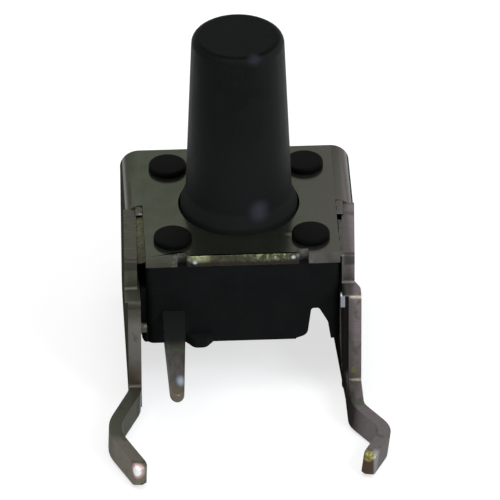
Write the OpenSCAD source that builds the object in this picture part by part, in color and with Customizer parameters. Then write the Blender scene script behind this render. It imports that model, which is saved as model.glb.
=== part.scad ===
// Right-angle tactile push button switch with a sheet-metal snap-in bracket.
// +Z is the direction that the plunger points in, -Y faces the circuit board,
// and the origin is on the push axis, in the base's rear face. Millimetres.

/* [Base housing] */
// Width of the base, between the bracket's side plates
base_w = 6.1; // [5.7:0.1:6.4]
// Depth of the base, from the terminal face to the far face
base_d = 6.0; // [5.7:0.1:6.6]
// Height of the base, from its rear face to the underside of the cover
base_h = 2.84; // [2.6:0.02:3.4]
// Radius of the base's upright edges
base_edge_r = 0.25; // [0.1:0.05:0.4]
// Radius of the cavity that holds the dome and the plunger's flange
cavity_r = 2.45; // [2.35:0.01:2.5]
// Spacing of the staking posts across the width
post_pitch_x = 4.34; // [4.3:0.02:4.5]
// Spacing of the staking posts along the depth
post_pitch_y = 4.12; // [4.1:0.02:4.4]
// Radius of a staking post below its head
post_r = 0.4; // [0.3:0.02:0.45]
// Radius of a melted post head
head_r = 0.6; // [0.52:0.02:0.7]
// Height of a melted post head above the cover
head_h = 0.2; // [0.1:0.02:0.35]
// Radius of the rim of a melted post head
head_rim_r = 0.08; // [0.02:0.01:0.1]
// Setback of the rib on the left flank behind the base's front and rear faces
rib_setback = 0.2; // [0.1:0.05:0.6]
// Gap between the rib and the left side plate
rib_clear = 0.04; // [0.04:0.01:0.08]
// Distance of the rib's top below the base's top
rib_drop = 0.9; // [0.6:0.05:1.4]
// Width of the gate mark on the lower front edge
gate_w = 0.9; // [0.6:0.02:1.1]
// How far the gate mark stands out from the front face
gate_out = 0.34; // [0.1:0.02:0.5]
// Distance of the gate mark from the push axis, to the left
gate_x = 1.38; // [1:0.02:1.5]
// Diameter of the core-pin holes in the rear face
core_hole_d = 0.8; // [0.5:0.05:1]
// Depth of the core-pin holes
core_hole_depth = 0.35; // [0.1:0.05:0.5]

/* [Torn-out terminal slot] */
// Width of the slot that the missing pin left in the base, at the rear face
tear_w = 1.1; // [0.8:0.05:1.2]
// Width of the slot at the top of its arch
tear_top_w = 0.24; // [0.15:0.01:0.3]
// Distance of the arch's top above the terminals' mid-plane
tear_rise = 0.1; // [0:0.02:0.14]
// Depth of the slot, back from the front face
tear_depth = 2; // [1.8:0.05:2.2]

/* [Cover and bracket] */
// Thickness of the sheet metal
sheet_t = 0.4; // [0.3:0.02:0.4]
// Depth of the cover plate
plate_d = 6.18; // [5.8:0.02:6.6]
// Distance between the mid-planes of the two side plates
side_pitch = 6.9; // [6.8:0.02:7.2]
// Inner radius of the bend between the cover and each side plate
bend_r = 0.2; // [0.1:0.01:0.2]
// Width of the slit between the cover and the front of the left side plate
slit_w_left = 0.2; // [0.17:0.01:0.3]
// Width of the slit between the cover and the front of the right side plate
slit_w_right = 0.2; // [0.17:0.01:0.3]
// Length of the slit that frees the front of each side plate
slit_l = 3; // [2:0.1:3.5]
// How far the free front part of a side plate stops below the cover's top
flap_drop = 0.14; // [0.05:0.01:0.3]
// Width of the sheared carrier tab on the cover's front edge
tab_w = 3.4; // [3:0.1:3.6]
// Width of the relief notch at each end of the tab
notch_w = 0.36; // [0.2:0.02:0.5]
// Depth of the relief notches
notch_d = 0.24; // [0.1:0.02:0.4]
// Clearance round each post in the cover
post_clear = 0.05; // [0.03:0.01:0.1]
// Distance from the base's front face to the board
board_gap = 0.85; // [0.5:0.05:1.2]
// Distance from the cover's top down to the shoulder ledge
ledge_drop = 1.15; // [0.9:0.05:1.4]
// Radius of the shoulder's outer corners
ledge_r = 0.16; // [0.05:0.01:0.3]
// Radius of the side plates' lower rear corner
heel_r = 0.6; // [0.3:0.05:1]
// How far the left side plate's front stands outward above the ledge
spread_left = 0.08; // [0:0.01:0.1]
// How far the right side plate is squeezed inward beside the base
squeeze_right = 0.15; // [0:0.01:0.16]
// Length over which the right side plate swings out again below the ledge
swing_l = 0.35; // [0.3:0.05:0.6]
// How far the right side plate stands outward at the board
flare_right = 0.02; // [0:0.01:0.1]
// Angle at which the left leg is twisted outward, below the shoulder
lean_left = 2; // [0:0.5:4]
// Angle at which the right leg is twisted inward, below the shoulder
lean_right = 7; // [0:0.5:8]
// Angle between the twist's axis and the leg's top edge
twist_rise = 6; // [4:0.5:7]
// How far the lips on the side plates reach inward, in front of the base
lip_reach = 0.2; // [0.15:0.01:0.3]
// Thickness of a lip
lip_t = 0.2; // [0.1:0.02:0.3]
// Width of the left lip, along the push axis
lip_w_left = 0.4; // [0.3:0.02:0.7]
// Height of the left lip's middle above the rear face
lip_z_left = 0.66; // [0.4:0.02:1.2]
// Width of the right lip, along the push axis
lip_w_right = 0.62; // [0.3:0.02:0.7]
// Height of the right lip's middle above the rear face
lip_z_right = 1.5; // [0.5:0.05:1.6]

/* [Bracket legs] */
// Distance between the leg row and the pin row
row_pitch = 2.5; // [2.4:0.05:2.7]
// Width of a leg, along the push axis
leg_w = 0.8; // [0.6:0.02:0.9]
// Length of the left leg past the shoulder
leg_l_left = 4.5; // [3.6:0.05:4.7]
// Length of the right leg past the shoulder
leg_l_right = 4.25; // [3.6:0.05:4.7]
// Radius of the upright edges at a leg's tip
tip_r = 0.16; // [0.04:0.02:0.18]
// Length of the rounded nose of a leg
nose_l = 0.4; // [0.2:0.05:0.6]
// Radius of the bend where the left leg turns outward
bend_r_left = 1.2; // [0.3:0.05:1.4]
// Radius of the bend where the right leg turns outward
bend_r_right = 0.7; // [0.3:0.05:1]
// Radius of the kink in the left leg
kink_r_left = 1.6; // [0.5:0.05:1.8]
// Radius of the kink in the right leg
kink_r_right = 0.8; // [0.5:0.05:1]
// How far the left side plate is splayed outward where its leg starts
splay_left = 0; // [0:0.02:0.3]
// Straight length of the left leg before its kink
kink_start_left = 0.2; // [0.1:0.05:1]
// Distance of the left leg's kink past the shoulder
kink_at_left = 2.3; // [2.1:0.05:2.6]
// How far the left leg's kink stands outward
kink_out_left = 0.86; // [0.4:0.02:1]
// How far the left leg's tip stands outward
tip_out_left = -0.06; // [-0.2:0.02:0.3]
// Straight length of the right leg before its kink
kink_start_right = 1.35; // [0.8:0.05:1.5]
// Distance of the right leg's kink past the shoulder
kink_at_right = 2.6; // [2.3:0.05:2.8]
// How far the right leg's kink stands outward
kink_out_right = 0.88; // [0.4:0.02:1.1]
// How far the right leg's tip stands outward
tip_out_right = 0.16; // [-0.1:0.02:0.4]

/* [Plunger] */
// Height of the plunger's top above the base's rear face
plunger_top = 9.45; // [7:0.05:12]
// Radius of the stem at its top
stem_top_r = 1.46; // [1:0.02:1.5]
// Radius of the stem above its collar
stem_foot_r = 1.68; // [1.55:0.01:1.7]
// Radius of the edge round the stem's top
stem_edge_r = 0.26; // [0.05:0.01:0.4]
// Radius of the collar's upper edge
collar_edge_r = 0.2; // [0.05:0.01:0.25]
// Radius of the hollow between the collar's slope and the stem
stem_hollow_r = 0.5; // [0.1:0.05:0.8]
// Radius of the guide collar that runs in the cover's hole
guide_r = 1.85; // [1.75:0.01:1.9]
// Running clearance between the collar and the cover's hole
guide_clear = 0.07; // [0.04:0.01:0.1]
// Height of the collar's straight part above the cover
collar_h = 0.14; // [0.1:0.01:0.3]
// Height of the slope between the collar and the stem
collar_slope = 0.42; // [0.2:0.02:0.6]
// Running clearance between the flange and the cavity
flange_clear = 0.12; // [0.08:0.01:0.2]
// Thickness of the retaining flange
flange_t = 0.6; // [0.4:0.05:0.8]
// Gap between the flange and the cover at rest
flange_gap = 0.04; // [0.02:0.01:0.08]
// Width of the two ears that stop the flange from turning
ear_w = 0.8; // [0.6:0.05:1]
// How far the ears stand out from the flange
ear_out = 0.28; // [0.15:0.01:0.3]
// Radius of the nub that presses the dome
nub_r = 0.65; // [0.4:0.05:0.8]

/* [Contacts] */
// Thickness of the terminals
lead_t = 0.3; // [0.25:0.01:0.35]
// Height of the terminals' mid-plane above the rear face
lead_z = 1.05; // [0.9:0.01:1.15]
// Distance of the pins from the push axis
pin_x = 2.2; // [2.1:0.02:2.3]
// Width of a pin where it leaves the base
pin_root_w = 0.77; // [0.6:0.01:0.8]
// Width of a pin at its tip
pin_tip_w = 0.46; // [0.4:0.01:0.58]
// How far a pin's tip is bent away from the push axis
pin_bend = 0.06; // [0:0.01:0.2]
// Length of a pin in front of the base
pin_l = 4.7; // [4:0.02:5]
// Length of the rounded nose at a pin's tip
pin_nose = 0.4; // [0.25:0.01:0.6]
// Radius of the fixed centre contact
contact_r = 0.5; // [0.3:0.02:0.6]
// Height of the fixed centre contact above the cavity floor
contact_h = 0.12; // [0.08:0.01:0.14]
// Width of the margin round the fixed centre contact
contact_margin = 0.25; // [0.1:0.05:0.4]
// How far the ring contact reaches outside the dome's rim
ring_out = 0.2; // [0.1:0.02:0.3]
// How far the ring contact reaches inside the dome's rim
ring_in = 0.5; // [0.3:0.05:0.7]
// Radius of the snap dome
dome_r = 2; // [1.8:0.01:2.1]
// Rise of the snap dome
dome_rise = 0.44; // [0.4:0.01:0.5]
// Thickness of the snap dome
dome_t = 0.08; // [0.06:0.01:0.1]
// Gap between the dome's top and the plunger's nub at rest
dome_gap = 0.02; // [0.01:0.01:0.03]

/* [Hidden] */
$fn = 64;
arc_step = 10;          // degrees between the points of a rounded corner
straight = 0.001;       // a corner that turns by less than this, in radians, stays a plain point
cover_top = base_h + sheet_t;
front_y = -base_d / 2;
board_y = front_y - board_gap;
side_in = side_pitch / 2 - sheet_t / 2;
side_out = side_pitch / 2 + sheet_t / 2;
flat_half = side_out - sheet_t - bend_r;    // where the cover's flat part ends
hole_r = guide_r + guide_clear;
lead_top = lead_z + lead_t / 2;             // also the cavity floor
leg_z = lead_z - row_pitch;
leg_top = leg_z + leg_w / 2;
leg_bottom = leg_z - leg_w / 2;
nick_r = ledge_r * 0.6; // radius of the side plate's smaller corners
flange_r = cavity_r - flange_clear;
flange_top = base_h - flange_gap;
nub_bottom = lead_top + dome_rise + dome_t + dome_gap;
overlap = 0.02;         // by which the parts of one piece run into each other
past = base_h / 2;      // by which a cutter runs past the surface it cuts

// ---- helpers ------------------------------------------------------------

function unit(v) = v / norm(v);

// Points of an arc of radius r in the corner at b between a and c, or b itself on a straight run.
function corner(a, b, c, r) =
    let (u = unit(a - b), v = unit(c - b))
    norm(u + v) < straight ? [b] :
    let (half = acos(max(-1, min(1, u * v))) / 2)
    let (centre = b + unit(u + v) * r / sin(half))
    let (p = b + u * r / tan(half) - centre, q = b + v * r / tan(half) - centre)
    let (start = atan2(p[1], p[0]), turn = atan2(p[0] * q[1] - p[1] * q[0], p * q))
    let (n = max(1, round(abs(turn) / arc_step)))
    [for (i = [0:n]) centre + r * [cos(start + turn * i / n), sin(start + turn * i / n)]];

function xy(p) = [p[0], p[1]];

// Rounds each corner [x, y, radius] of a closed outline or of an open path.
function rounded(p, closed = true) =
    let (n = len(p))
    [for (i = [0:n - 1])
        each (p[i][2] == 0 || (!closed && (i == 0 || i == n - 1)))
            ? [xy(p[i])]
            : corner(xy(p[(i + n - 1) % n]), xy(p[i]), xy(p[(i + 1) % n]), p[i][2])];

// The line beside an open path, at distance d.
function beside(path, d) =
    let (n = len(path))
    [for (i = [0:n - 1])
        let (a = unit(path[min(i + 1, n - 1)] - path[min(i, n - 2)]))
        let (b = unit(path[max(i, 1)] - path[max(i - 1, 0)]))
        let (m = unit(a + b))
        path[i] + d * [-m[1], m[0]] / (m * a)];

// The outline of a strip of thickness t along an open path, with a rounded far end.
function strip(path, t, end_r) =
    let (last = len(path) - 1, left = beside(path, t / 2), right = beside(path, -t / 2))
    rounded(concat(
        [for (i = [0:last]) [left[i][0], left[i][1], i == last ? end_r : 0]],
        [for (i = [last:-1:0]) [right[i][0], right[i][1], i == last ? end_r : 0]]));

module at_posts() {
    for (sx = [-1, 1], sy = [-1, 1])
        translate([sx * post_pitch_x / 2, sy * post_pitch_y / 2, 0]) children();
}

module rounded_block(w, d, h, r) {
    linear_extrude(h)
        polygon(rounded([[-w / 2, -d / 2, r], [w / 2, -d / 2, r], [w / 2, d / 2, r], [-w / 2, d / 2, r]]));
}

// ---- base housing -------------------------------------------------------

// A melted post head: a flat button with a rounded rim.
module post_head() {
    rotate_extrude()
        polygon(rounded([[0, 0, 0], [head_r, 0, 0], [head_r, head_h, head_rim_r], [0, head_h, 0]]));
}

// The arched slot that was left where the right pin was torn out.
module torn_slot() {
    top = lead_z + tear_rise;
    outer = pin_x + tear_w / 2;
    peak = outer - tear_w / 2 + tear_top_w / 4;
    translate([0, front_y - past, 0]) rotate([90, 0, 0]) mirror([0, 0, 1])
        linear_extrude(tear_depth + past)
            polygon(rounded([
                [outer - tear_w, -past, 0], [outer - tear_w, top / 40, tear_w / 20],
                [outer - tear_w * 2 / 3, top / 7, tear_w / 4],
                [peak - tear_top_w / 2, top, tear_top_w / 2.5],
                [peak + tear_top_w / 2, top, tear_top_w / 2.5],
                [outer - tear_w / 12, top * 0.55, tear_w / 3], [outer, 0, 0], [outer, -past, 0]]));
}

// The low rib on the left flank that the side plate closes in on.
module side_rib() {
    rib_w = side_in - rib_clear;
    translate([-rib_w, front_y + rib_setback, rib_setback])
        cube([rib_w, base_d * 3 / 4 - rib_setback, base_h - rib_drop - rib_setback]);
}

module base_housing() {
    color([0.13, 0.13, 0.14]) {
        difference() {
            union() {
                rounded_block(base_w, base_d, base_h, base_edge_r);
                side_rib();
            }
            translate([0, 0, lead_top]) cylinder(r = cavity_r, h = base_h);
            translate([0, 0, lead_top + overlap + base_h / 2])
                cube([ear_w + 2 * flange_clear, 2 * (cavity_r + ear_out), base_h], center = true);
            terminal_left_plate();
            terminal_right_plate();
            torn_slot();
            for (sx = [-1, 1])
                translate([sx * base_w / 4, base_d / 4, -past])
                    cylinder(d = core_hole_d, h = past + core_hole_depth);
        }
        at_posts() translate([0, 0, base_h - overlap]) cylinder(r = post_r, h = sheet_t + 2 * overlap);
        at_posts() translate([0, 0, cover_top]) post_head();
        gate_mark();
    }
}

// The rounded vestige of the mould's gate on the lower front edge.
module gate_mark() {
    translate([-gate_x, front_y, 0]) linear_extrude(gate_w / 3)
        polygon(rounded([[-gate_w / 2, gate_out, 0], [-gate_w / 2, overlap, 0],
            [-gate_w / 5, -gate_out, gate_w / 4], [gate_w / 5, -gate_out, gate_w / 4],
            [gate_w / 2, overlap, 0], [gate_w / 2, gate_out, 0]]));
}

// ---- cover and bracket --------------------------------------------------

// The side plate's outline seen along X, with a leg of length l.
function side_outline(l) = rounded([
    [base_d / 2, base_h - bend_r, 0],
    [base_d / 2 - slit_l, base_h - bend_r, 0],
    [base_d / 2 - slit_l, cover_top - flap_drop, 0],
    [front_y, cover_top - flap_drop, nick_r],
    [front_y, cover_top - ledge_drop, nick_r],
    [board_y, cover_top - ledge_drop, ledge_r],
    [board_y, leg_top, nick_r],
    [board_y - l, leg_top, leg_w * 0.4],
    [board_y - l, leg_bottom, leg_w * 0.4],
    [base_d / 2, leg_bottom, heel_r]]);

// The centre line of the left side plate and its leg, seen from above.
function left_path() = rounded([
    [side_pitch / 2, base_d / 2 + past, 0],
    [side_pitch / 2, base_d / 2 - slit_l, 2 * bend_r_left],
    [side_pitch / 2 + splay_left, board_y - kink_start_left, bend_r_left],
    [side_pitch / 2 + kink_out_left, board_y - kink_at_left, kink_r_left],
    [side_pitch / 2 + tip_out_left, board_y - leg_l_left + sheet_t / 5, 0]], false);

// The same of the right one, squeezed in beside the base and swung out in front of it.
function right_path() = rounded([
    [side_pitch / 2, base_d / 2 + past, 0],
    [side_pitch / 2, base_d / 2 - slit_l, 2 * bend_r_right],
    [side_pitch / 2 - squeeze_right, front_y, swing_l],
    [side_pitch / 2 + flare_right, front_y - swing_l, swing_l],
    [side_pitch / 2 + flare_right, board_y - kink_start_right, bend_r_right],
    [side_pitch / 2 + kink_out_right, board_y - kink_at_right, kink_r_right],
    [side_pitch / 2 + tip_out_right, board_y - leg_l_right + sheet_t / 5, 0]], false);

// The centre line of a side plate above its ledge.
function top_path(squeeze) = [
    [side_pitch / 2, base_d / 2 + past],
    [side_pitch / 2, base_d / 2 - slit_l],
    [side_pitch / 2 - squeeze * (slit_l + past) / slit_l, front_y - past]];

// The part of a side plate between two heights.
module side_sheet(path, l, low, high) {
    intersection() {
        translate([0, 0, low]) linear_extrude(high - low) polygon(strip(path, sheet_t, tip_r));
        rotate([90, 0, 90]) linear_extrude(2 * side_pitch) polygon(side_outline(l));
    }
}

// What is cut away to round the end of a leg that turns through an angle.
module nose_cutter(tip, turn, l) {
    half = norm([leg_w, sheet_t]) / 2 + overlap;
    translate([side_pitch / 2 + tip, board_y - l, leg_z]) rotate([90, 0, turn]) difference() {
        translate([-leg_w, -leg_w, -nose_l]) cube([2 * leg_w, 2 * leg_w, nose_l + leg_w]);
        translate([0, 0, -nose_l]) rotate_extrude($fn = 48)
            polygon(concat([[0, -overlap], [half, -overlap]],
                [for (a = [0:arc_step:90]) [half * cos(a), nose_l * sin(a)]]));
    }
}

// A lip that is bent in from a side plate, in front of the base's face.
module lip(w, z) {
    translate([side_in - lip_reach, front_y - lip_t - overlap, z - w / 2])
        rotate([90, 0, 90]) linear_extrude(lip_reach + sheet_t / 2)
            polygon(rounded([[0, lip_t / 2, 0], [lip_t, 0, lip_t / 4],
                [lip_t, w, lip_t / 4], [0, w - lip_t / 2, 0]]));
}

// The room past the shoulder that holds a leg.
module leg_room() {
    translate([0, board_y - base_d, leg_top - base_d])
        cube([2 * side_pitch, base_d + overlap, base_d + overlap]);
}

// A side plate along a path, with a leg of length l that is twisted inward by an angle.
// The squeeze moves its front inward above the ledge.
module side_plate(path, squeeze, lean, l, tip, turn) {
    side_sheet(top_path(squeeze), l, cover_top - ledge_drop - overlap, cover_top);
    difference() {
        side_sheet(path, l, leg_bottom, cover_top - ledge_drop);
        leg_room();
    }
    translate([side_pitch / 2, board_y, leg_top]) rotate([twist_rise, 0, 0])
        rotate([0, lean, 0]) rotate([-twist_rise, 0, 0]) translate([-side_pitch / 2, -board_y, -leg_top])
            difference() {
                intersection() {
                    side_sheet(path, l, leg_bottom, cover_top - ledge_drop);
                    translate([0, 0, overlap]) leg_room();
                }
                nose_cutter(tip, turn, l);
            }
}

// The cover plate with its rear bends, as a folded section drawn across X.
module folded_cover() {
    rear_l = slit_l + plate_d - base_d;
    translate([0, base_d / 2 - slit_l, 0]) rotate([90, 0, 0]) mirror([0, 0, 1]) linear_extrude(rear_l)
        for (sx = [0, 1]) mirror([sx, 0]) {
            translate([0, base_h]) square([flat_half + overlap, sheet_t]);
            translate([flat_half, base_h - bend_r]) intersection() {
                difference() {
                    circle(r = bend_r + sheet_t);
                    circle(r = bend_r);
                }
                square(bend_r + 2 * sheet_t);
            }
        }
    translate([slit_w_left - side_in, front_y, base_h])
        cube([2 * side_in - slit_w_left - slit_w_right, base_d - slit_l + overlap, sheet_t]);
}

module cover_bracket() {
    color([0.62, 0.62, 0.57]) {
        difference() {
            folded_cover();
            translate([0, 0, base_h - past]) cylinder(r = hole_r, h = sheet_t + 2 * past, $fn = 96);
            at_posts() translate([0, 0, base_h - past])
                cylinder(r = post_r + post_clear, h = sheet_t + 2 * past);
            for (sx = [-1, 1])
                translate([sx * (tab_w + notch_w) / 2, front_y, base_h])
                    cube([notch_w, 2 * notch_d, 3 * sheet_t], center = true);
        }
        lip(lip_w_right, lip_z_right);
        side_plate(right_path(), squeeze_right, lean_right, leg_l_right, tip_out_right,
            atan2(tip_out_right - kink_out_right, leg_l_right - kink_at_right));
        mirror([1, 0, 0]) {
            lip(lip_w_left, lip_z_left);
            side_plate(left_path(), -spread_left, -lean_left, leg_l_left, tip_out_left,
                atan2(tip_out_left - kink_out_left, leg_l_left - kink_at_left));
        }
    }
}

// ---- plunger ------------------------------------------------------------

module plunger() {
    edge = [for (a = [0:15:90])
        [stem_top_r - stem_edge_r * (1 - cos(a)), plunger_top - stem_edge_r * (1 - sin(a))]];
    color([0.15, 0.15, 0.17]) {
        rotate_extrude($fn = 96)
            polygon(concat(
                [[0, nub_bottom], [nub_r, nub_bottom], [nub_r, flange_top - flange_t],
                 [flange_r, flange_top - flange_t], [flange_r, flange_top], [guide_r, flange_top]],
                corner([guide_r, flange_top], [guide_r, cover_top + collar_h],
                    [stem_foot_r, cover_top + collar_h + collar_slope], collar_edge_r),
                corner([guide_r, cover_top + collar_h], [stem_foot_r, cover_top + collar_h + collar_slope],
                    [stem_top_r, plunger_top], stem_hollow_r),
                edge, [[0, plunger_top]]));
        for (sy = [-1, 1])
            translate([-ear_w / 2, sy > 0 ? guide_r : -flange_r - ear_out, flange_top - flange_t])
                cube([ear_w, flange_r + ear_out - guide_r, flange_t]);
    }
}

// ---- contacts -----------------------------------------------------------

// A shallow stainless cap, flat on its rim.
module snap_dome() {
    ball = (dome_r * dome_r + dome_rise * dome_rise) / (2 * dome_rise);
    reach = asin(dome_r / ball);
    steps = 16;
    color([0.75, 0.75, 0.76]) translate([0, 0, lead_top + dome_rise - ball])
        rotate_extrude($fn = 96)
            polygon(concat(
                [for (i = [0:steps]) ball * [sin(reach * i / steps), cos(reach * i / steps)]],
                [for (i = [steps:-1:0])
                    [ball * sin(reach * i / steps), ball * cos(reach * i / steps) + dome_t]]));
}

// One pin with a tapered, rounded tip, from the cavity outward.
module pin_outline(back) {
    tip_y = front_y - pin_l + pin_nose;
    polygon(concat(
        [[-pin_x - pin_root_w / 2, back], [-pin_x - pin_root_w / 2, front_y]],
        [for (a = [0:arc_step:180])
            [-pin_x - pin_bend - pin_tip_w / 2 * cos(a), tip_y - pin_nose * sin(a)]],
        [[-pin_x + pin_root_w / 2, front_y], [-pin_x + pin_root_w / 2, back]]));
}

// The left terminal: a ring contact under the dome's rim, and its pin.
module terminal_left_plate() {
    translate([0, 0, lead_z - lead_t / 2]) linear_extrude(lead_t) {
        difference() {
            circle(r = dome_r + ring_out);
            circle(r = dome_r - ring_in);
            translate([dome_r / 5, -2 * dome_r]) square(4 * dome_r);
        }
        pin_outline(-dome_r * 0.6);
    }
}

// The right terminal: the centre contact and the lead to the torn-out pin.
module terminal_right_plate() {
    translate([0, 0, lead_z - lead_t / 2]) linear_extrude(lead_t) {
        circle(r = contact_r + contact_margin);
        translate([0, -pin_root_w / 2]) square([pin_x, pin_root_w]);
        translate([pin_x - pin_root_w / 2, front_y + tear_depth - overlap])
            square([pin_root_w, pin_root_w / 2 - front_y - tear_depth + overlap]);
    }
}

module terminal_left() {
    color([0.66, 0.62, 0.56]) terminal_left_plate();
}

module terminal_right() {
    color([0.66, 0.62, 0.56]) {
        terminal_right_plate();
        translate([0, 0, lead_top - overlap]) cylinder(r = contact_r, h = contact_h + overlap);
    }
}

base_housing();
cover_bracket();
plunger();
snap_dome();
terminal_left();
terminal_right();
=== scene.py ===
"""The looks of a right-angle push button switch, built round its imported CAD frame. Metres."""

import math

import bmesh
import bpy
from mathutils import Matrix, Vector, noise

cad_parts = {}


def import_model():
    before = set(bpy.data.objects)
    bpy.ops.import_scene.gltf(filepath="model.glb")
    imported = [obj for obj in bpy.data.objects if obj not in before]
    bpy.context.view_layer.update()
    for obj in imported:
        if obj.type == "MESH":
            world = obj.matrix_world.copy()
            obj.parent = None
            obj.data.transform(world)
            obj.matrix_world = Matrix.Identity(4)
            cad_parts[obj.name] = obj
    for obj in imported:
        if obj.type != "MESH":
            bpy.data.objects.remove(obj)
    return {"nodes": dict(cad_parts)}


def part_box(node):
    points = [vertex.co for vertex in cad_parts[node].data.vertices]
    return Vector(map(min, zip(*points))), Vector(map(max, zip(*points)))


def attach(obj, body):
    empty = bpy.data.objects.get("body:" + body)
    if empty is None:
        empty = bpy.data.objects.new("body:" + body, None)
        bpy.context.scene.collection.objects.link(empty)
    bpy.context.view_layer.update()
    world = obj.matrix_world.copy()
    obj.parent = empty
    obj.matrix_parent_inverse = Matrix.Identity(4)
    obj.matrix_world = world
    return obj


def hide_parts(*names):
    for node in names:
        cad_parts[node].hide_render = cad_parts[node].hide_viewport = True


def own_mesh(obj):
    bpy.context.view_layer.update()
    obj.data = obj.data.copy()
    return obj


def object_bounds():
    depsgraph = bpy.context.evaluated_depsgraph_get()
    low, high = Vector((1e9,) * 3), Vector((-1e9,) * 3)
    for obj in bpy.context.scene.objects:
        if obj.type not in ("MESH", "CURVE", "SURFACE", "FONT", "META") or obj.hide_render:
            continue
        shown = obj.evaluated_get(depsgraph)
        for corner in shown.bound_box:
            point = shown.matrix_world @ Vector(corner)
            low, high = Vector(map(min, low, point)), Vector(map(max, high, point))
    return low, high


MM = 0.001

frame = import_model()
CAD_BOX = [list(corner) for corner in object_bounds()]

# ---- places taken from the frame, in millimetres -----------------------------

FLOOR = CAD_BOX[0][2] / MM
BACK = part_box("base_housing")[1].y / MM
FRONT = -BACK                           # the base is centred on the push axis
COVER_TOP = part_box("cover_bracket")[1].z / MM
LEG_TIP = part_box("cover_bracket")[0].y / MM
PIN_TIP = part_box("terminal_left")[0].y / MM
STEM_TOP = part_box("plunger")[1].z / MM

# ---- sizes of the sheet metal in millimetres, as in the CAD source -----------

SHEET = 0.4
TAB_WIDTH = 3.4
SIDE_INNER = 3.25                       # from the push axis to a side plate's inner face
SLIT_LENGTH = 3.0
SQUEEZE = 0.15                          # the right side plate's front, inward beside the base
SWING = 0.35                            # length over which it swings out again
FLARE = 0.02                            # how far outward it stands at the board
LEG_TOP = -1.05
BOARD = FRONT - 0.85                    # the circuit board's face, where the shoulders end
DOME_SHEET = 0.08

# ---- chosen for the looks, in millimetres; most are places of painted highlights ---

TOP_EDGE_HIGHLIGHT = (0.47, -1.3, STEM_TOP - 0.08)      # painted highlight on the front edge of the plunger's top
COLLAR_HIGHLIGHT = (0.62, -1.7, COVER_TOP + 0.72)   # painted highlight on the plunger's collar
PIN_HIGHLIGHT = (-2.12, PIN_TIP + 0.78, 1.2)         # painted highlight on the pin
LEFT_TIP_HIGHLIGHT = (-3.57, LEG_TIP + 0.08, -1.26)      # painted highlight, white with a pink rim, on the left leg's tip
BRASS_END = (3.66, LEG_TIP + 0.35, LEG_TOP)     # bare brass on the right leg's tip
RIGHT_LIP = (3.2, FRONT - 0.2, 1.5)             # lip on the right side plate, with a painted highlight
LEG_ROOT = (3.5, BOARD, LEG_TOP + 0.25)         # where the right leg leaves its shoulder


# ---- node trees --------------------------------------------------------------


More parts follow.
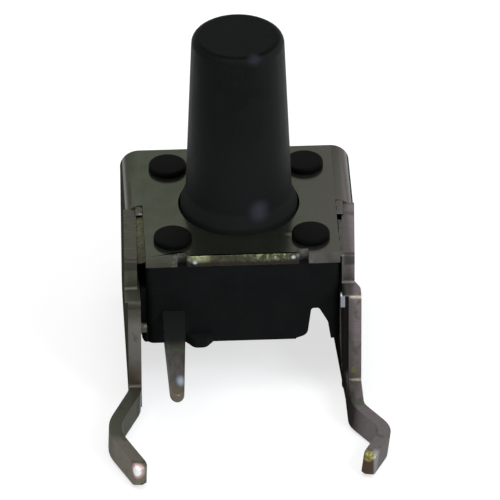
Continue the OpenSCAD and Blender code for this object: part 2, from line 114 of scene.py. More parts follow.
class Graph:
    """A material's node tree, with one short call for each kind of node that is used here.
    Places are in millimetres in the part's own frame."""

    def __init__(self, name):
        self.material = bpy.data.materials.new(name)
        self.material.use_nodes = True
        self.tree = self.material.node_tree
        self.shader = self.tree.nodes["Principled BSDF"]
        coords = self.node("ShaderNodeTexCoord")
        self.normal = self.split(coords.outputs["Normal"])
        scaled = self.node("ShaderNodeVectorMath", operation="SCALE")
        scaled.inputs["Scale"].default_value = 1 / MM
        self.tree.links.new(coords.outputs["Object"], scaled.inputs[0])
        self.place = scaled.outputs[0]
        self.x, self.y, self.z = self.split(self.place)

    def node(self, kind, **settings):
        made = self.tree.nodes.new(kind)
        for key, value in settings.items():
            setattr(made, key, value)
        return made

    def put(self, value, socket):
        if isinstance(value, bpy.types.NodeSocket):
            self.tree.links.new(value, socket)
        elif isinstance(value, tuple):
            socket.default_value = (*value, 1.0)[: len(socket.default_value)]
        else:
            socket.default_value = value

    def split(self, vector):
        made = self.node("ShaderNodeSeparateXYZ")
        self.put(vector, made.inputs[0])
        return made.outputs[0], made.outputs[1], made.outputs[2]

    def math(self, operation, a, b=0.0):
        made = self.node("ShaderNodeMath", operation=operation)
        self.put(a, made.inputs[0])
        self.put(b, made.inputs[1])
        return made.outputs[0]

    def size(self, a):
        return self.math("ABSOLUTE", a)

    def but(self, mask):
        return self.math("SUBTRACT", 1.0, mask)

    def both(self, *masks):
        product = masks[0]
        for mask in masks[1:]:
            product = self.math("MULTIPLY", product, mask)
        return product

    def either(self, a, b):
        return self.math("MAXIMUM", a, b)

    def rise(self, value, low, high):
        """0 below low, 1 above high, or the other way round where low is above high."""
        made = self.node("ShaderNodeMapRange", interpolation_type="SMOOTHSTEP")
        self.put(value, made.inputs["Value"])
        down = low > high
        made.inputs["From Min"].default_value = min(low, high)
        made.inputs["From Max"].default_value = max(low, high)
        made.inputs["To Min"].default_value = 1.0 if down else 0.0
        made.inputs["To Max"].default_value = 0.0 if down else 1.0
        return made.outputs[0]

    def between(self, value, low, high, soft=0.05):
        """1 between two values, fading out over a soft edge."""
        above = self.rise(value, low - soft, low + soft)
        return self.both(above, self.rise(value, high + soft, high - soft))

    def near(self, centre, radius, soft=0.5, stretch=(1, 1, 1)):
        """1 inside a ball of that radius, stretched along the axes, falling to 0 at its edge."""
        away = self.node("ShaderNodeVectorMath", operation="SUBTRACT")
        self.put(self.place, away.inputs[0])
        away.inputs[1].default_value = centre
        squashed = self.node("ShaderNodeVectorMath", operation="DIVIDE")
        self.put(away.outputs[0], squashed.inputs[0])
        squashed.inputs[1].default_value = stretch
        made = self.node("ShaderNodeVectorMath", operation="LENGTH")
        self.put(squashed.outputs[0], made.inputs[0])
        return self.rise(made.outputs["Value"], radius, radius * (1 - soft))

    def noise(self, per_mm, detail=2.0, stretch=(1, 1, 1), roughness=0.5):
        moved = self.node("ShaderNodeMapping")
        self.put(self.place, moved.inputs["Vector"])
        moved.inputs["Scale"].default_value = stretch
        made = self.node("ShaderNodeTexNoise")
        self.put(moved.outputs[0], made.inputs["Vector"])
        made.inputs["Scale"].default_value = per_mm
        made.inputs["Detail"].default_value = detail
        made.inputs["Roughness"].default_value = roughness
        return made.outputs[0]

    def mix(self, share, a, b):
        """A colour between a and b."""
        made = self.node("ShaderNodeMix", data_type="RGBA")
        self.put(share, made.inputs[0])
        self.put(a, made.inputs[6])
        self.put(b, made.inputs[7])
        return made.outputs[2]

    def mix_value(self, share, a, b):
        made = self.node("ShaderNodeMix", data_type="FLOAT")
        self.put(share, made.inputs[0])
        self.put(a, made.inputs[2])
        self.put(b, made.inputs[3])
        return made.outputs[0]

    def bump(self, height, strength, distance):
        """Bump of a height of 0 to 1 over that distance in millimetres, on top of the last one."""
        made = self.node("ShaderNodeBump")
        made.inputs["Strength"].default_value = strength
        made.inputs["Distance"].default_value = distance * MM
        self.put(height, made.inputs["Height"])
        normal = self.shader.inputs["Normal"]
        if normal.is_linked:
            self.tree.links.new(normal.links[0].from_socket, made.inputs["Normal"])
        self.tree.links.new(made.outputs[0], normal)

    def finish(self, colour, roughness, metallic=0.0, specular=0.5, grazing=1.0):
        """Grazing is how bright a metal is at a grazing angle."""
        self.put(colour, self.shader.inputs["Base Color"])
        self.put(roughness, self.shader.inputs["Roughness"])
        self.put(metallic, self.shader.inputs["Metallic"])
        self.put(specular, self.shader.inputs["Specular IOR Level"])
        self.shader.inputs["Specular Tint"].default_value = (grazing, grazing, grazing, 1.0)
        return self.material


# ---- materials ---------------------------------------------------------------


def black_plastic(name, dark, light, roughness, specular, finer=None):
    """Moulded black plastic with a fine eroded grain and faint cloudy patches. Finer is a function
    that takes the graph and the colour so far, and gives the colour with its finer features."""
    g = Graph(name)
    grain = g.noise(16.0, 3.0)
    clouds = g.noise(1.3, 2.0)
    tone = g.mix_value(0.45, g.rise(grain, 0.3, 0.7), g.rise(clouds, 0.3, 0.7))
    g.bump(grain, 0.3, 0.02)
    g.bump(g.noise(5.0, 2.0), 0.12, 0.03)
    rough = g.mix_value(clouds, roughness - 0.06, roughness + 0.06)
    colour = g.mix(tone, dark, light)
    if finer:
        colour = finer(g, colour)
    return g.finish(colour, rough, specular=specular)


def dark_heads(g, colour):
    """The melted post heads, blacker than the moulded faces."""
    return g.mix(g.rise(g.z, COVER_TOP - 0.02, COVER_TOP), colour, (0.0026, 0.0030, 0.0024))


def stem_light_and_shade(g, colour):
    """The plunger: painted shade on its left side and on its top, painted light on its right side,
    lighter towards the bottom, and painted highlights on its top's front edge and on its collar."""
    # Painted shade on the left side and painted light on the right side.
    colour = g.mix(g.rise(g.x, -0.4, -1.4), colour, (0.0052, 0.0058, 0.0056))
    colour = g.mix(g.rise(g.x, 0.4, 1.5), colour, (0.0140, 0.0160, 0.0150))
    # Painted shade on the top face.
    top = g.both(g.rise(g.z, STEM_TOP - 0.12, STEM_TOP - 0.04), g.rise(g.normal[2], 0.7, 0.95))
    colour = g.mix(top, colour, (0.0022, 0.0026, 0.0025))
    # Painted highlight on the front edge of the top.
    colour = g.mix(g.near(TOP_EDGE_HIGHLIGHT, 0.32, 0.9), colour, (0.020, 0.023, 0.027))
    colour = g.mix(g.rise(g.z, COVER_TOP + 5.0, COVER_TOP + 1.2), colour, (0.0125, 0.0133, 0.0132))
    # Painted highlight on the collar.
    return g.mix(g.near(COLLAR_HIGHLIGHT, 0.5, 1.0), colour, (0.048, 0.053, 0.068))


def rolled_face(g):
    """The sheet's flat face: dull greenish grey in patches, with painted light that makes it
    lighter and pinker towards the right and lighter on the bends, a dark line along the left bend,
    and flecks."""
    patches = g.rise(g.noise(1.6, 3.0), 0.3, 0.7)
    colour = g.mix(patches, (0.068, 0.077, 0.055), (0.080, 0.089, 0.066))
    # Painted light: lighter and pinker towards the right, lightest at the right bend.
    colour = g.mix(g.rise(g.x, 0.5, 3.2), colour, (0.088, 0.086, 0.074))
    colour = g.mix(g.rise(g.x, 3.2, 3.5), colour, (0.180, 0.162, 0.156))
    # Painted light on the left bend.
    bend = g.both(g.rise(g.x, -3.3, -3.55), g.rise(g.z, 2.7, 2.9))
    colour = g.mix(bend, colour, (0.086, 0.091, 0.068))
    # A dark line along the left bend.
    dark_line = g.both(g.between(g.x, -3.44, -3.37, 0.03), g.between(g.y, 0.1, 1.5, 0.2))
    colour = g.mix(g.both(dark_line, 0.6), colour, (0.042, 0.040, 0.030))
    flecks = g.both(g.rise(g.noise(14.0, 3.0), 0.5, 0.75), 0.22)
    return g.mix(flecks, colour, (0.13, 0.125, 0.115))


def sheared_edge(g):
    """The sheet's cut edges: brownish on the left; on the right lighter and pinker from painted
    light, with painted shade on the right leg's inner edges; streaks and green stains."""
    streaks = g.rise(g.noise(5.0, 4.0, (0.8, 2.0, 3.5), 0.6), 0.3, 0.7)
    left = g.mix(streaks, (0.060, 0.059, 0.045), (0.086, 0.084, 0.068))
    arm = g.both(g.rise(g.z, 1.7, 1.2), g.rise(g.y, FRONT, BOARD))
    left = g.mix(arm, left, (0.158, 0.152, 0.138))
    arm_foot = g.both(g.rise(g.z, 0.1, -0.6), g.rise(g.y, FRONT, BOARD))
    left = g.mix(arm_foot, left, (0.108, 0.088, 0.072))
    ledge = g.both(g.rise(g.y, FRONT + 0.05, FRONT - 0.05), g.rise(g.z, 1.9, 2.0))
    left = g.mix(ledge, left, (0.082, 0.082, 0.062))
    left = g.mix(g.rise(g.y, BOARD + 0.05, BOARD - 0.2), left, (0.085, 0.086, 0.064))
    left = g.mix(g.rise(g.y, LEG_TIP + 1.9, LEG_TIP + 1.3), left, (0.165, 0.150, 0.120))
    # Painted light: the right side's edges lighter and pinker, most of all at the outer edge.
    right = g.mix(g.rise(g.x, 3.3, 3.55), (0.106, 0.096, 0.094), (0.220, 0.180, 0.190))
    right = g.mix(g.rise(g.y, BOARD + 0.05, BOARD - 0.3), right, (0.155, 0.138, 0.134))
    # Painted shade on the inner edges of the right leg.
    inner = g.both(g.rise(g.x, 3.5, 3.34), g.between(g.y, BOARD - 2.7, BOARD - 0.6, 0.2))
    right = g.mix(inner, right, (0.068, 0.064, 0.058))
    right = g.mix(g.both(streaks, 0.25), right, (0.070, 0.062, 0.058))
    colour = g.mix(g.rise(g.x, -1.0, 1.0), left, right)
    stains = g.rise(g.noise(2.4, 3.0, (1.0, 1.0, 0.7)), 0.54, 0.68)
    return g.mix(g.both(stains, 0.6), colour, (0.062, 0.068, 0.040))


def tip_wear_and_highlight(g, colour):
    """The ends of the legs: a painted highlight, white with a pink rim, on the left one, and bare
    brass between brown and grey on the right one."""
    # Painted highlight on the left tip: white with a pink rim.
    colour = g.mix(g.near(LEFT_TIP_HIGHLIGHT, 0.29, 0.3), colour, (0.44, 0.29, 0.28))
    colour = g.mix(g.near(LEFT_TIP_HIGHLIGHT, 0.2, 0.4), colour, (1.0, 1.0, 1.0))
    end = g.both(g.rise(g.x, 2.0, 2.5), g.rise(g.y, LEG_TIP + 0.75, LEG_TIP + 0.5))
    colour = g.mix(g.both(end, g.rise(g.z, -1.1, -1.25)), colour, (0.070, 0.046, 0.033))
    grit = g.rise(g.noise(9.0, 3.0), 0.35, 0.6)
    brass = g.mix(grit, (0.13, 0.11, 0.035), (0.30, 0.29, 0.10))
    colour = g.mix(g.near(BRASS_END, 0.3, 0.4), colour, brass)
    return g.mix(g.both(end, g.rise(g.x, 3.78, 3.88)), colour, (0.29, 0.286, 0.29))


def plated_sheet():
    """Dull plated sheet: smooth rolled faces, streaked sheared edges, bare brass on the right leg's
    tip, and painted light, shade and highlights.
    """
    g = Graph("plated_sheet")
    nx, _, nz = (g.size(n) for n in g.normal)
    far_x = g.size(g.x)
    plate = g.rise(far_x, 3.12, 3.22)
    bent = g.both(g.rise(g.y, -0.05, 0.05), g.rise(g.z, 2.6, 2.75))
    cut = g.either(g.both(plate, g.rise(nx, 0.85, 0.6), g.but(bent)),
                   g.both(g.but(plate), g.rise(nz, 0.8, 0.5)))
    cut = g.either(cut, g.rise(g.y, BOARD - 0.5, BOARD - 1.0))
    colour = g.mix(cut, rolled_face(g), sheared_edge(g))
    reach = g.either(g.rise(g.y, BOARD - 0.45, BOARD - 0.05),
                     g.both(g.rise(g.x, 1.0, 2.0), g.rise(g.y, BOARD - 2.2, BOARD - 1.5)))
    # Painted shade on the side plates' side faces: dark and without shine, the inner faces darkest
    # towards the base.
    flank = g.both(g.rise(far_x, 2.75, 2.85), g.rise(nx, 0.7, 0.9), reach)
    outward = g.rise(g.math("MULTIPLY", g.normal[0], g.x), -0.5, 0.5)
    inward = g.mix(g.rise(g.y, BOARD, BOARD + 0.5), (0.044, 0.039, 0.036), (0.026, 0.024, 0.021))
    side = g.mix(outward, inward, (0.060, 0.058, 0.042))
    colour = g.mix(flank, colour, side)
    # Painted highlight on the right side plate's lip.
    lip = g.both(g.near(RIGHT_LIP, 0.36, 0.3), g.rise(nx, 0.8, 0.5))
    colour = g.mix(lip, colour, (0.35, 0.37, 0.41))
    # Painted highlight along the right shoulder's corner at the board.
    line = g.both(g.between(g.y, BOARD + 0.03, BOARD + 0.10, 0.02), g.rise(g.z, 1.9, 1.95))
    colour = g.mix(g.both(line, g.rise(g.x, 3.25, 3.4)), colour, (0.33, 0.29, 0.22))
    # Painted highlight flecks in the notches beside the tab.
    notch = g.both(g.between(far_x, TAB_WIDTH / 2 + 0.04, TAB_WIDTH / 2 + 0.5, 0.08),
                   g.rise(g.y, FRONT + 0.35, FRONT + 0.2))
    specks = g.rise(g.noise(7.0, 2.0), 0.5, 0.6)
    colour = g.mix(g.both(notch, specks), colour, (0.13, 0.13, 0.13))
    tick = g.near(LEG_ROOT, 0.32, 0.3)
    smears = g.rise(g.noise(4.0, 3.0, (1.6, 1.0, 0.8)), 0.5, 0.6)
    colour = g.mix(g.both(tick, smears), colour, (0.20, 0.20, 0.085))
    # Painted shade along the flaps' top front edges and along the left shoulder's corner.
    shaded_flap_edge = g.both(plate, g.between(g.y, FRONT - 0.12, FRONT + 0.16, 0.03), g.rise(g.z, 2.7, 2.8))
    ledge = g.both(g.rise(g.x, -3.0, -3.1), g.between(g.y, BOARD - 0.06, BOARD + 0.1, 0.03),
                   g.rise(g.z, 1.8, 1.9))
    colour = g.mix(g.both(g.either(shaded_flap_edge, ledge), 0.7), colour, (0.030, 0.029, 0.026))
    colour = tip_wear_and_highlight(g, colour)
    g.bump(g.noise(6.0, 3.0, (0.5, 4.0, 0.5)), 0.05, 0.02)
    g.bump(g.both(g.noise(6.0, 3.0, (0.6, 1.6, 4.0)), cut), 0.35, 0.02)
    rough = g.mix_value(cut, g.mix_value(g.noise(40.0, 2.0), 0.16, 0.24), 0.42)
    metallic = g.mix_value(flank, g.mix_value(cut, 0.86, 0.65), 0.0)
    metallic = g.mix_value(g.near(LEFT_TIP_HIGHLIGHT, 0.2, 0.4), metallic, 0.45)
    return g.finish(colour, rough, metallic, g.mix_value(flank, 0.3, 0.0), grazing=0.35)


def tab_brass():
    """Bare brass along the broken carrier tab: lumpy and golden in two stretches and brown between
    them, with painted shade along its lower side and painted highlights at its ends."""
    g = Graph("tab_brass")
    lumps = g.noise(5.0, 4.0, roughness=0.7)
    bare = g.either(g.between(g.x, -1.66, -1.05, 0.12), g.between(g.x, 0.02, 1.42, 0.15))
    dull = g.mix(g.rise(g.x, -0.9, -1.1), (0.050, 0.052, 0.026), (0.240, 0.240, 0.130))
    gold = g.mix(g.rise(lumps, 0.46, 0.64), dull, (0.31, 0.35, 0.20))
    brown = g.mix(g.rise(lumps, 0.4, 0.7), (0.040, 0.040, 0.024), (0.075, 0.078, 0.050))
    colour = g.mix(bare, brown, gold)
    # Painted shade along the ridge's lower side.
    colour = g.mix(g.rise(g.z, COVER_TOP - 0.12, COVER_TOP - 0.30), colour, (0.018, 0.014, 0.009))
    # Painted highlights at the tab's ends.
    highlight_blobs = ((-1.68, 0.12, 0.22), (-1.51, 0.22, 0.62), (1.58, 0.14, 0.62), (1.72, 0.08, 0.18))
    for x, down, grey in highlight_blobs:
        highlight_blob = g.near((x, FRONT - 0.03, COVER_TOP - down), 0.1, 0.8)
        colour = g.mix(highlight_blob, colour, (grey * 0.88, grey * 0.97, grey))
    g.bump(lumps, 0.7, 0.06)
    return g.finish(colour, 0.34, 0.6, 0.3)


def slit_brass():
    """Greenish bare brass on the burr along the left slit, with brown gaps."""
    g = Graph("slit_brass")
    lumps = g.noise(5.0, 4.0, roughness=0.7)
    colour = g.mix(g.rise(lumps, 0.35, 0.62), (0.048, 0.042, 0.024), (0.078, 0.086, 0.038))
    colour = g.mix(g.rise(lumps, 0.62, 0.72), colour, (0.13, 0.15, 0.075))
    colour = g.mix(g.rise(g.y, FRONT + 1.1, FRONT + 0.2), colour, (0.040, 0.034, 0.020))
    g.bump(lumps, 0.6, 0.05)
    return g.finish(colour, 0.5, 0.5, 0.2)


def terminal_metal():
    """Dull tin over brass, with a darker greenish root in painted shade, a painted green glint, a
    painted bluish highlight and a brown tip.
    """
    g = Graph("terminal_metal")
    along = g.noise(3.0, 3.0, (3.0, 0.7, 1.0))
    tin = g.mix(g.rise(along, 0.3, 0.7), (0.088, 0.080, 0.074), (0.122, 0.113, 0.109))
    root = g.rise(g.y, FRONT - 2.3, FRONT - 1.5)
    # Painted shade: darker and greenish towards the root, darkest next to the body.
    colour = g.mix(root, tin, (0.052, 0.060, 0.042))
    colour = g.mix(g.rise(g.y, FRONT - 2.0, FRONT - 1.6), colour, (0.027, 0.030, 0.028))
    # Painted green glint across the pin.
    painted_glint = g.both(g.between(g.y, FRONT - 2.36, FRONT - 2.14, 0.1),
                    g.rise(g.noise(5.0, 3.0, (1.5, 0.6, 1.0)), 0.46, 0.54))
    colour = g.mix(painted_glint, colour, (0.080, 0.150, 0.070))
    colour = g.mix(g.rise(g.y, PIN_TIP + 0.7, PIN_TIP + 0.3), colour, (0.130, 0.110, 0.083))
    # Painted bluish highlight on the pin's upper face.
    spot = g.both(g.near(PIN_HIGHLIGHT, 0.2, 0.9, (1, 2, 2)), g.rise(g.normal[2], 0.2, 0.6))
    colour = g.mix(spot, colour, (0.40, 0.47, 0.57))
    g.bump(along, 0.15, 0.02)
    return g.finish(colour, g.mix_value(along, 0.30, 0.42), 0.6, 0.3, grazing=0.5)


def dome_steel():
    """Bright spring steel."""
    g = Graph("dome_steel")
    fine = g.noise(30.0, 2.0)
    return g.finish(g.mix(fine, (0.55, 0.55, 0.56), (0.72, 0.72, 0.72)), 0.2, metallic=1.0)


# ---- edges and smooth faces of the CAD nodes ---------------------------------


def smooth_group(limit_deg):
    """A modifier's node group that shades faces smooth and keeps edges over the limit sharp."""
    tree = bpy.data.node_groups.new("smooth_faces", "GeometryNodeTree")
    tree.interface.new_socket("Geometry", in_out="INPUT", socket_type="NodeSocketGeometry")
    tree.interface.new_socket("Geometry", in_out="OUTPUT", socket_type="NodeSocketGeometry")
    start = tree.nodes.new("NodeGroupInput")
    end = tree.nodes.new("NodeGroupOutput")
    faces = tree.nodes.new("GeometryNodeSetShadeSmooth")
    faces.domain = "FACE"
    edges = tree.nodes.new("GeometryNodeSetShadeSmooth")
    edges.domain = "EDGE"
    angle = tree.nodes.new("GeometryNodeInputMeshEdgeAngle")
    flat = tree.nodes.new("FunctionNodeCompare")
    flat.operation = "LESS_EQUAL"
    flat.inputs["B"].default_value = math.radians(limit_deg)
    link = tree.links.new
    link(angle.outputs["Unsigned Angle"], flat.inputs["A"])
    link(start.outputs[0], faces.inputs["Geometry"])
    link(faces.outputs[0], edges.inputs["Geometry"])
    link(flat.outputs[0], edges.inputs["Shade Smooth"])
    link(edges.outputs[0], end.inputs[0])
    return tree


def dress(name, material, edge, smooth):
    """Gives a CAD node its material, rounded edges of that width, and smooth curved faces."""
    node = frame["nodes"][name]
    node.data.materials.clear()
    node.data.materials.append(material)
    weld = node.modifiers.new("weld", "WELD")
    weld.merge_threshold = 1e-7
    flat = node.modifiers.new("flat", "DECIMATE")
    flat.decimate_type = "DISSOLVE"
    flat.angle_limit = math.radians(0.5)
    if edge:
        bevel = node.modifiers.new("bevel", "BEVEL")
        bevel.width = edge * MM
        bevel.segments = 3
        bevel.limit_method = "ANGLE"
        bevel.angle_limit = math.radians(38)
        bevel.use_clamp_overlap = True
        bevel.miter_outer = "MITER_ARC"
    group = node.modifiers.new("smooth", "NODES")
    group.node_group = smooth
    weighted = node.modifiers.new("weighted", "WEIGHTED_NORMAL")
    weighted.keep_sharp = True


# ---- broken and burred edges -------------------------------------------------


def place_piece(name, made, material):
    """Turns a bmesh into a piece that rides with the housing, and returns it."""
    bmesh.ops.recalc_face_normals(made, faces=made.faces)
    mesh = bpy.data.meshes.new(name)
    made.to_mesh(mesh)
    made.free()
    mesh.materials.append(material)
    mesh.shade_smooth()
    piece = bpy.data.objects.new(name, mesh)
    bpy.context.scene.collection.objects.link(piece)
    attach(piece, "housing")
    return piece


def loft(rings):
    """A closed bmesh through rings of places in millimetres, each with as many points."""
    made = bmesh.new()
    rings = [[made.verts.new(place * MM) for place in ring] for ring in rings]
    count = len(rings[0])
    for a, b in zip(rings, rings[1:]):
        for k in range(count):
            made.faces.new((a[k], a[(k + 1) % count], b[(k + 1) % count], b[k]))
    made.faces.new(rings[0][::-1])
    made.faces.new(rings[-1])
    return made


def ragged_edge(name, start, end, out, width, depth, material, seed, steps=150):
    """A lumpy broken edge along a line: a low ridge of that width, standing out by about depth,
    which fades out over an eighth of its length at each end. Its back is sunk a little into the
    sheet that it belongs to. Millimetres."""
    start, end, out = Vector(start), Vector(end), Vector(out).normalized()
    along = end - start
    side = along.normalized().cross(out)
    around = 14
    coarse, fine = 2.3, 9.0             # lumps and grains in a millimetre
    rings = []
    for i in range(steps + 1):
        t = i / steps
        fade = min(1.0, 8 * t, 8 * (1 - t))
        centre = start + along * t
        ring = []
        for k in range(around + 1):
            turn = math.pi * (k / around - 0.5)
            flat = centre + side * (width / 2 * math.sin(turn))
            lumps = noise.noise(flat * coarse + Vector((seed, 0, 0)))
            grains = noise.noise(flat * fine + Vector((0, seed, 0)))
            height = max(0.15, 0.45 + 0.75 * lumps + 0.4 * grains)
            ring.append(flat + out * (depth * fade * height * abs(math.cos(turn)) ** 0.5))
        ring.append(centre + side * (width / 2) - out * depth)
        ring.append(centre - side * (width / 2) - out * depth)
        rings.append(ring)
    place_piece(name, loft(rings), material)


def plate_fold(name, material):
    """The right side plate's lower edge, folded inward by more away from the board. It is a wedge
    on the plate's inner face, from a little way down the leg to the plate's far rounded corner."""
    front, back = BOARD - 0.75, BACK - 0.6
    line_z, line_slope = LEG_TOP + 0.05, 0.08       # the fold's line at the board, and its slope
    edge_x, edge_y = 3.01, -0.75                    # a place on the folded edge
    edge_slope, leg_slope = 0.052, 0.2              # how fast it goes outward, beside and on the leg
    bottom, bevel_x, bevel_z = -1.84, 0.02, 0.05
    sunk, step = 0.03, 0.01                         # its back in the plate, and its step at the line
    rings = []
    steps = 60
    for i in range(steps + 1):
        y = front + (back - front) * i / steps
        swing = min(1.0, max(0.0, (FRONT - y) / SWING))
        squeezed = SIDE_INNER - SQUEEZE * min(1.0, max(0.0, y / FRONT))
        inner = squeezed + (SIDE_INNER + FLARE - squeezed) * swing
        edge = min(inner, edge_x + edge_slope * (edge_y - y) + leg_slope * max(0.0, BOARD - y))
        top = line_z + line_slope * (y - BOARD)
        rings.append([Vector((inner + sunk, y, top)), Vector((inner - step, y, top)),
                      Vector((edge, y, bottom + bevel_z)), Vector((edge + bevel_x, y, bottom)),
                      Vector((inner + sunk, y, bottom))])
    place_piece(name, loft(rings), material)


def rib_foot(name, material):
    """The lower front end of the rib on the base's left flank, which reaches the rear face."""
    start, length = FRONT + 0.06, 1.2
    sunk, face = 2.98, 3.19                         # its inner and outer side, from the push axis
    low, high, rounding = 0.02, 0.6, 0.05
    taper = 0.12                                    # how far its half away from the board slopes in
    rings = []
    steps = 12
    for i in range(steps + 1):
        t = i / steps
        y = start + length * t
        out = face - rounding * max(0.0, 1 - 6 * t) - taper * max(0.0, 2 * t - 1)
        rings.append([Vector((-sunk, y, low)), Vector((-out + rounding, y, low)),
                      Vector((-out, y, low + rounding)), Vector((-out, y, high)),
                      Vector((-sunk, y, high))])
    place_piece(name, loft(rings), material)


def pressed_dome(name, material):
    """The snap dome in the CAD node's shape, standing in for that node, which it hides."""
    low, high = (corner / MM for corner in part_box("snap_dome"))
    rise = high.z - low.z - DOME_SHEET
    ball = (high.x ** 2 + rise ** 2) / (2 * rise)   # radius of the ball that it is cut from
    reach = math.asin(high.x / ball)
    pole = 0.002                                    # keeps its middle from closing to a point
    steps = 16
    profile = [(k / steps, DOME_SHEET) for k in range(steps + 1)]
    profile += [(k / steps, 0.0) for k in reversed(range(steps + 1))]
    around = 96
    rings = []
    for share, raised in profile:
        turn = reach * max(share, pole)
        out = ball * math.sin(turn)
        height = low.z + rise - ball + ball * math.cos(turn) + raised
        rings.append([Vector((out * math.cos(2 * math.pi * k / around),
                              out * math.sin(2 * math.pi * k / around), height))
                      for k in range(around)])
    piece = place_piece(name, loft(rings), material)
    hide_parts("snap_dome")
    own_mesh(piece)


# ---- stage -------------------------------------------------------------------

TARGET = Vector((0, 0, 2 * MM))         # what the camera and the lamps look at, in metres


def camera():
    """The camera in front of the board side, above and slightly to the left."""
    yaw, drop, roll = math.radians(2.5), math.radians(33.5), math.radians(0.3)
    far = 300 * MM
    aside, below = 0.348, 0.475
    ahead = Vector((math.sin(yaw) * math.cos(drop), math.cos(yaw) * math.cos(drop), -math.sin(drop)))
    right = Vector((math.cos(yaw), -math.sin(yaw), 0))
    up = right.cross(ahead)
    aim = TARGET + right * aside * MM - up * below * MM
    data = bpy.data.cameras.new("camera")
    data.sensor_width = 36
    data.lens = 682.6
    data.clip_start = 0.01
    data.clip_end = 10
    made = bpy.data.objects.new("camera", data)
    axes = Matrix((right, up, -ahead)).transposed()
    turned = axes @ Matrix.Rotation(-roll, 3, "Z")
    made.matrix_world = Matrix.Translation(aim - ahead * far) @ turned.to_4x4()
    bpy.context.scene.collection.objects.link(made)
    bpy.context.scene.camera = made


def lamp(name, azimuth, elevation, far, size, watts, colour):
    """A square soft lamp that looks at the part. Azimuth 0 is in front of it and 90 on its right.
    Its distance and size are in millimetres."""
    a, e = math.radians(azimuth), math.radians(elevation)
    way = Vector((math.sin(a) * math.cos(e), -math.cos(a) * math.cos(e), math.sin(e)))
    data = bpy.data.lights.new(name, "AREA")
    data.size = size * MM
    data.energy = watts
    data.color = colour
    made = bpy.data.objects.new(name, data)
    made.location = TARGET + way * far * MM
    made.rotation_euler = way.to_track_quat("Z", "Y").to_euler()
    bpy.context.scene.collection.objects.link(made)


def seen_directly(tree):
    """A socket that is 1 for what the camera sees, straight or in a mirror or through glass."""
    path = tree.nodes.new("ShaderNodeLightPath")
    total = path.outputs["Is Camera Ray"]
    for other in ("Is Glossy Ray", "Is Transmission Ray"):
        add = tree.nodes.new("ShaderNodeMath")
        add.operation = "MAXIMUM"
        tree.links.new(total, add.inputs[0])
        tree.links.new(path.outputs[other], add.inputs[1])
        total = add.outputs[0]
    return total


def world(strength):
    """A white surround that lights the part at that strength and looks plain white."""
    made = bpy.data.worlds.new("studio")
    made.use_nodes = True
    tree = made.node_tree
    shade = tree.nodes["Background"]
    shade.inputs["Color"].default_value = (1, 1, 1, 1)
    level = tree.nodes.new("ShaderNodeMapRange")
    level.inputs["To Min"].default_value = strength
    level.inputs["To Max"].default_value = 1.0
    tree.links.new(seen_directly(tree), level.inputs["Value"])
    tree.links.new(level.outputs[0], shade.inputs["Strength"])
    bpy.context.scene.world = made


def floor():
    """A floor that is nearly white where it is seen, and keeps a soft shadow."""
    glow = 0.67                                     # its own light where it is seen directly
    grid = bmesh.new()
    bmesh.ops.create_grid(grid, x_segments=2, y_segments=2, size=0.5)
    mesh = bpy.data.meshes.new("floor")
    grid.to_mesh(mesh)
    grid.free()
    made = bpy.data.objects.new("floor", mesh)
    made.location = (0, 0, FLOOR * MM)
    bpy.context.scene.collection.objects.link(made)
    paint = bpy.data.materials.new("floor")
    paint.use_nodes = True
    tree = paint.node_tree
    shader = tree.nodes["Principled BSDF"]
    shader.inputs["Base Color"].default_value = (0.5, 0.5, 0.5, 1)
    shader.inputs["Roughness"].default_value = 1.0
    shader.inputs["Specular IOR Level"].default_value = 0.0
    shader.inputs["Emission Color"].default_value = (1, 1, 1, 1)
    lift = tree.nodes.new("ShaderNodeMath")
    lift.operation = "MULTIPLY"
    lift.inputs[1].default_value = glow
    tree.links.new(seen_directly(tree), lift.inputs[0])
    tree.links.new(lift.outputs[0], shader.inputs["Emission Strength"])
    mesh.materials.append(paint)


# ---- the scene ---------------------------------------------------------------

camera()
world(strength=0.45)
floor()
lamp("key", azimuth=42, elevation=38, far=160, size=60, watts=0.10, colour=(0.88, 0.94, 1.0))
lamp("top", azimuth=-20, elevation=75, far=180, size=120, watts=0.10, colour=(1.0, 1.0, 1.0))

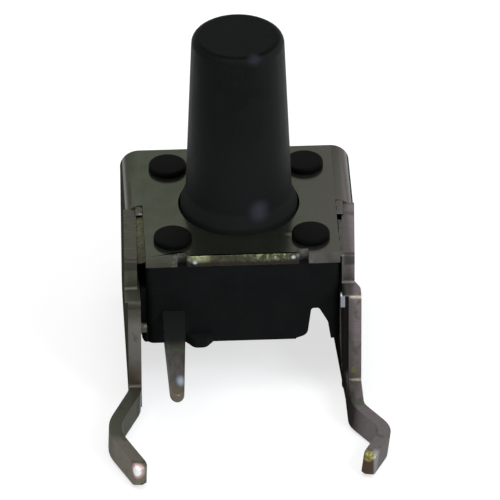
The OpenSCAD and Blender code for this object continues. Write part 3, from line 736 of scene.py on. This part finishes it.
smooth = smooth_group(limit_deg=35)
base = black_plastic("base_plastic", dark=(0.0058, 0.0063, 0.0064), light=(0.0102, 0.0109, 0.0110),
                     roughness=0.6, specular=0.03, finer=dark_heads)
stem = black_plastic("plunger_plastic", dark=(0.0062, 0.0070, 0.0068),
                     light=(0.0108, 0.0118, 0.0115), roughness=0.45, specular=0.03, finer=stem_light_and_shade)
terminal = terminal_metal()
sheet = plated_sheet()
dress("base_housing", base, edge=0.03, smooth=smooth)
dress("cover_bracket", sheet, edge=0.1, smooth=smooth)
dress("plunger", stem, edge=0, smooth=smooth)
dress("terminal_left", terminal, edge=0.06, smooth=smooth)
dress("terminal_right", terminal, edge=0.02, smooth=smooth)

cover_middle = COVER_TOP - SHEET / 2
tab_half = TAB_WIDTH / 2 + 0.07
ragged_edge("tab_break", start=(-tab_half, FRONT, cover_middle), end=(tab_half, FRONT, cover_middle),
            out=(0, -1, 0), width=SHEET, depth=0.06, material=tab_brass(), seed=3.0)
ragged_edge("slit_break", start=(-SIDE_INNER + 0.05, FRONT + 0.05, COVER_TOP - 0.20),
            end=(-SIDE_INNER + 0.04, FRONT + SLIT_LENGTH - 0.45, COVER_TOP - 0.17),
            out=(-0.2, 0, 1), width=0.38, depth=0.06, material=slit_brass(), seed=7.0)
ragged_edge("slit_end_left", start=(-SIDE_INNER + 0.10, -0.42, COVER_TOP - 0.10),
            end=(-SIDE_INNER + 0.10, 0.05, COVER_TOP - 0.06),
            out=(0, 0, 1), width=0.26, depth=0.05, material=sheet, seed=2.0, steps=40)
ragged_edge("slit_burr_right", start=(3.09, FRONT + 0.03, COVER_TOP - 0.16),
            end=(3.14, -0.95, COVER_TOP - 0.14),
            out=(0.2, 0, 1), width=0.13, depth=0.05, material=sheet, seed=5.0, steps=100)
ragged_edge("slit_end_right", start=(3.14, -0.68, COVER_TOP - 0.08),
            end=(3.16, 0.05, COVER_TOP - 0.06),
            out=(0, 0, 1), width=0.26, depth=0.05, material=sheet, seed=9.0, steps=50)
plate_fold("plate_fold", sheet)
rib_foot("rib_foot", base)
pressed_dome("dome_cap", dome_steel())

bpy.context.scene.view_settings.view_transform = "Standard"
